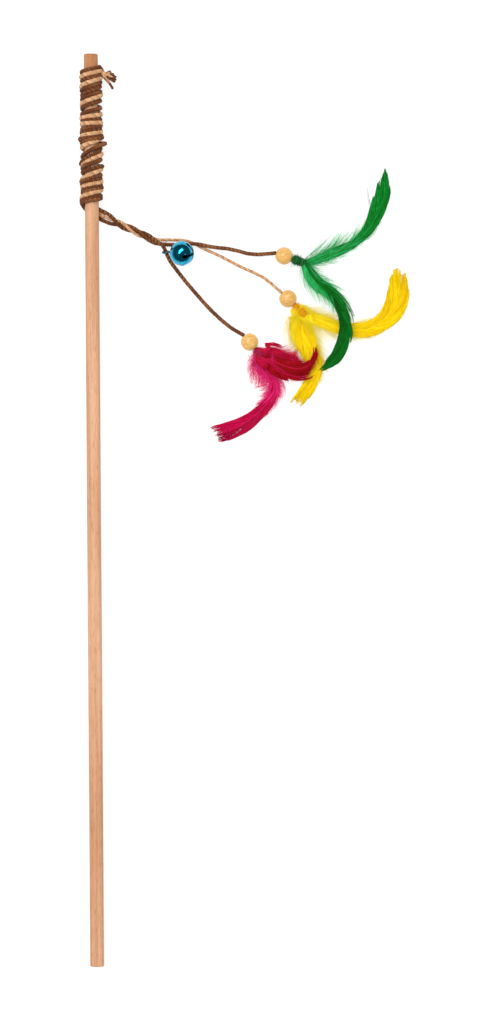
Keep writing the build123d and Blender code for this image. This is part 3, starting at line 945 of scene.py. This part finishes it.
def feather_spine(spec):
    """Evenly spaced points from inside the binding to the feather's tip."""
    along = tassel_along(spec["tassel"])
    base = bead_centre(spec["tassel"]) + np.array((0, 0, spec["quill"] * quill_rise * mm))
    start = [base + along * d * mm for d in (spec["root"], binding_start + binding_length + 1.0)]
    drop = spec["lie"] if spec["lie"] > lying_height else (bead_radius + 2 * spec["lie"]) / 3
    heights = [drop] + [spec["lie"]] * (len(spec["spine"]) - 1)
    points = start + [place(x, y, h) for (x, y), h in zip(spec["spine"], heights)]
    return resampled(hand_drawn(points, 0.2 * mm), spine_step * mm)


def at_share(values, share):
    """Rows of an evenly spaced table at shares from 0 to 1, running straight on past its end."""
    last = len(values) - 1
    position = np.clip(share, 0, 1) * last
    index = np.minimum(position.astype(int), last - 1)
    part = (position - index)[..., None]
    beyond = np.clip(share - 1, 0, None)[..., None] * (values[-1] - values[-6]) * last / 5
    return values[index] * (1 - part) + values[index + 1] * part + beyond


def streaked(rng, count, run):
    """A number for each barb that changes slowly from one to the next."""
    return np.interp(np.arange(count) / run, np.arange(count // run + 2), rng.normal(0, 1, count // run + 2))


class Feather:
    """The spine of one feather, and the hairs that grow from it."""

    def __init__(self, name, spec):
        self.spec = spec
        self.rng = np.random.default_rng(sum(map(ord, name)))
        self.spine = feather_spine(spec)
        self.length = travelled(self.spine)[-1] / mm
        self.aside = unit(np.cross((0, 0, 1.0), unit(np.gradient(self.spine, axis=0))))
        self.bare = bare_quill / self.length
        self.strands = Strands()

    def laid(self, share, width, height):
        """Points beside the spine, in millimetres to its left and above it."""
        left = unit(at_share(self.aside, np.clip(share, 0, 1)))
        points = at_share(self.spine, share) + left * width[..., None] * mm
        points = points + np.array((0, 0, mm)) * height[..., None]
        points[..., 2] = np.maximum(points[..., 2], (floor_z + table_gap) * mm)
        return points

    def add_rachis(self):
        taper = np.interp(np.linspace(0, 1, len(self.spine)), [0, 0.3, 1], [quill_radius, 0.32, 0.08]) * mm
        self.strands.tube(self.spine, taper, 8, self.spec["shade"][0])

    def add_vane(self, sign, edge, shade, blade):
        """Barbs that end evenly along the vane's edge, and across its end."""
        rng = self.rng
        shares, widths = np.array(edge + [(vane_end, 0.0)]).T
        run = np.concatenate([[0.0], np.cumsum(np.hypot(np.diff(shares) * self.length, np.diff(widths)))])
        at = np.sort(rng.uniform(0, run[-1], barb_count))
        end = np.interp(at, run, shares)
        outer = np.interp(at, run, widths)
        clump = np.repeat(rng.normal(0, 1, barb_count // barb_clump + 1), barb_clump)[:barb_count]
        spiky = self.spec["spiky"]
        ragged = spiky + self.spec["ragged"] * np.clip((end - ragged_from) / 0.1, 0, 1)
        end = end + (0.7 * clump * ragged + rng.normal(0, 0.25, barb_count)) / self.length
        outer = outer * (1 + (0.03 + 0.07 * spiky) * clump + rng.normal(0, 0.03, barb_count))
        back = (barb_length * rng.uniform(0.8, 1.25, barb_count) + outer) / self.length
        root = np.maximum(end - back, self.bare * rng.uniform(0.4, 1.0, barb_count))
        t = np.linspace(0, 1, barb_stations)[None]
        share = root[:, None] + np.maximum(end - root, 0.01)[:, None] * t
        hug = 0.8 + 0.9 * np.clip((base_until - end) / 0.2, 0, 1)
        width = sign * outer[:, None] * np.sin(math.pi / 2 * t) ** hug[:, None]
        lift = 0.3 * rng.uniform(-1, 1, barb_count)[:, None] * t
        lift = lift + vane_arch * outer[:, None] * t * (1 - t)
        thin = (barb_width * (1 - 0.7 * t**3)) * np.ones((barb_count, 1)) * mm
        tone = shade + 0.08 * streaked(rng, barb_count, 30) + 0.02 * clump + rng.normal(0, 0.03, barb_count)
        tone = tone + (blade - shade) * np.clip((end - blade_from) / 0.28, 0, 1)
        tone = tone[:, None] - 0.06 * (1 - t)
        self.strands.strips(self.laid(share, width, lift), thin, barb_thickness * mm, tone)

    def add_down(self, sign, edge, reach, shade):
        """Tufts of fine hairs past the vane's edge: long and loose at the base, a short fringe further on."""
        rng = self.rng
        until = self.spec["down_until"]
        tufts = self.spec["tufts"]
        shares, widths = np.array(edge).T
        low = self.bare * 0.3
        base = np.concatenate([low + (until - low) * rng.uniform(0, 1, tufts) ** 1.2,
                               rng.uniform(until * 0.6, 0.93, tufts // 3)])
        loose = np.clip(1 - base / until, 0, 1) ** 0.6
        past = (fringe_reach + reach * loose) * rng.uniform(0.05, 1, len(base)) ** self.spec["wisps"]
        out = np.interp(base + 0.06, shares, widths) + past
        sweep = 2.5 + self.spec["lean"] * out + rng.uniform(0, 1, len(base)) * (2 + 8 * loose)
        tip = np.minimum(base + sweep / self.length, 0.99)
        tuft = np.repeat(np.arange(len(base)), self.spec["hairs"])
        count = len(tuft)
        loose = loose[tuft][:, None]
        root = np.clip(base[tuft] + rng.normal(0, 1.1, count) / self.length, low, 0.95)
        end = np.maximum(tip[tuft] + rng.normal(0, 0.7, count) / self.length, root + 0.01)
        out = out[tuft] * rng.uniform(0.6, 1.04, count)
        t = np.linspace(0, 1, down_stations)[None]
        wave = np.sin(t * rng.uniform(3, 8, len(base))[tuft, None] + rng.uniform(0, 6, len(base))[tuft, None])
        width = sign * out[:, None] * t**0.85 + 0.35 * wave * t * loose
        share = root[:, None] + (end - root)[:, None] * t**1.15 + 0.003 * wave * t
        sag = rng.uniform(-0.8, 0.0, count)[:, None]
        rise = 1.4 * loose * rng.uniform(0, 1, len(base))[tuft, None]
        lift = (sag + rise) * t
        thin = (down_width * (1 - 0.6 * t)) * np.ones((count, 1)) * mm
        tone = shade + rng.normal(0, 0.06, len(base))[tuft, None] + rng.normal(0, 0.04, count)[:, None]
        tone = tone + (self.spec["fluff"] - shade) * np.minimum(1, 2 * loose) * t**0.8
        self.strands.strips(self.laid(share, width, lift), thin, down_thickness * mm, tone)

    def add_lock(self, count, width, spread, places):
        """Barbs that have parted from the vane and lie together in a pointed lock."""
        points = [place(x, y, self.spec["lie"] + 0.5) for x, y in places]
        t = np.linspace(0, 1, barb_stations)
        line = at_share(resampled(hand_drawn(points, path_step * mm), path_step * mm), t)
        aside = unit(np.cross((0, 0, 1.0), np.gradient(line, axis=0)))
        offset = self.rng.normal(0, spread, count)[:, None] * (1 - 0.85 * t**2)
        paths = line[None] + aside[None] * offset[..., None] * mm
        thin = np.ones((count, 1)) * (width * (1 - 0.75 * t**2))[None] * mm
        tone = self.spec["blade"][1] + self.rng.normal(0, 0.1, count)[:, None]
        self.strands.strips(paths, thin, barb_thickness * mm, np.repeat(tone, barb_stations, axis=1))


def make_feather(name, spec):
    feather = Feather(name, spec)
    feather.add_rachis()
    for lock in spec["locks"]:
        feather.add_lock(*lock)
    for k, (sign, edge) in enumerate(((1, spec["left"]), (-1, spec["right"]))):
        feather.add_vane(sign, edge, spec["shade"][k], spec["blade"][k])
        feather.add_down(sign, edge, spec["down"][k], spec["shade"][k])
    obj = feather.strands.made(f"plume_{name.removeprefix('feather_')}", feather_material[spec["dye"]])
    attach(obj, f"tassel_{spec['tassel']}")
    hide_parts(name)


for name, spec in feathers.items():
    make_feather(name, spec)

# Stage: a white table, soft lamps and a dim room

table_half = 30000.0
table_drop = 0.02
# Lamps: the direction that each stands in, its distance and its face's sizes in metres, and its radiance
lamps = {
    "key": ((-0.235, 0.314, 0.92), 2.4, (4.6, 1.8), 0.12),
    "core": ((-0.235, 0.314, 0.92), 2.35, (2.5, 0.85), 5.3),
    "spot": ((0.535, -0.38, 0.75), 2.4, (0.9, 0.9), 2.2),
}
lamp_aim = (51.0, -25.0, 8.0)
lamp_long_way = (0.7, 0.7, 0)


def make_table():
    half = table_half * mm
    z = (floor_z - table_drop) * mm
    mesh = bpy.data.meshes.new("table")
    corners = [(-half, -half, z), (half, -half, z), (half, half, z), (-half, half, z)]
    mesh.from_pydata(corners, [], [(0, 1, 2, 3)])
    obj = linked("table", mesh)
    material = bpy.data.materials.new("table")
    material.use_nodes = True
    tree = material.node_tree
    tree.nodes.clear()
    diffuse = node(tree, "ShaderNodeBsdfDiffuse", Color=(0.85, 0.85, 0.85, 1))
    shadowed = node(tree, "ShaderNodeBsdfDiffuse", Color=(0.3, 0.3, 0.3, 1))
    glow = node(tree, "ShaderNodeEmission", Strength=0.78)
    seen = joined(tree, "ShaderNodeAddShader", shadowed.outputs[0], glow.outputs[0])
    path = node(tree, "ShaderNodeLightPath")
    looked_at = calculated(tree, "MAXIMUM", path.outputs["Is Camera Ray"], path.outputs["Is Glossy Ray"])
    looked_at = calculated(tree, "MAXIMUM", looked_at, path.outputs["Is Transmission Ray"])
    chosen = joined(tree, "ShaderNodeMixShader", looked_at, diffuse.outputs[0], seen)
    output = node(tree, "ShaderNodeOutputMaterial")
    tree.links.new(chosen, output.inputs["Surface"])
    mesh.materials.append(material)


def make_lamp(name, direction, distance, size, radiance):
    """A soft box that faces the bell, by the light that its face gives off."""
    data = bpy.data.lights.new(name, "AREA")
    data.shape = "RECTANGLE"
    data.size, data.size_y = size
    data.energy = radiance * math.pi * size[0] * size[1]
    lamp = linked(name, data)
    away = Vector(direction).normalized()
    across = away.cross(Vector(lamp_long_way)).normalized()
    turn = Matrix((across.cross(away), across, away)).transposed()
    lamp.matrix_world = Matrix.Translation(Vector(place(*lamp_aim)) + away * distance) @ turn.to_4x4()
    lamp.visible_camera = False


def make_world():
    world = bpy.data.worlds.new("room")
    bpy.context.scene.world = world
    world.use_nodes = True
    tree = world.node_tree
    path = node(tree, "ShaderNodeLightPath")
    fill = remapped(tree, path.outputs["Is Diffuse Ray"], To_Min=0.11, To_Max=0.75)
    background = tree.nodes["Background"]
    background.inputs["Color"].default_value = (1, 1, 1, 1)
    tree.links.new(fill, background.inputs["Strength"])


make_table()
for name, lamp in lamps.items():
    make_lamp(name, *lamp)
make_world()
bpy.context.scene.view_settings.view_transform = "Standard"
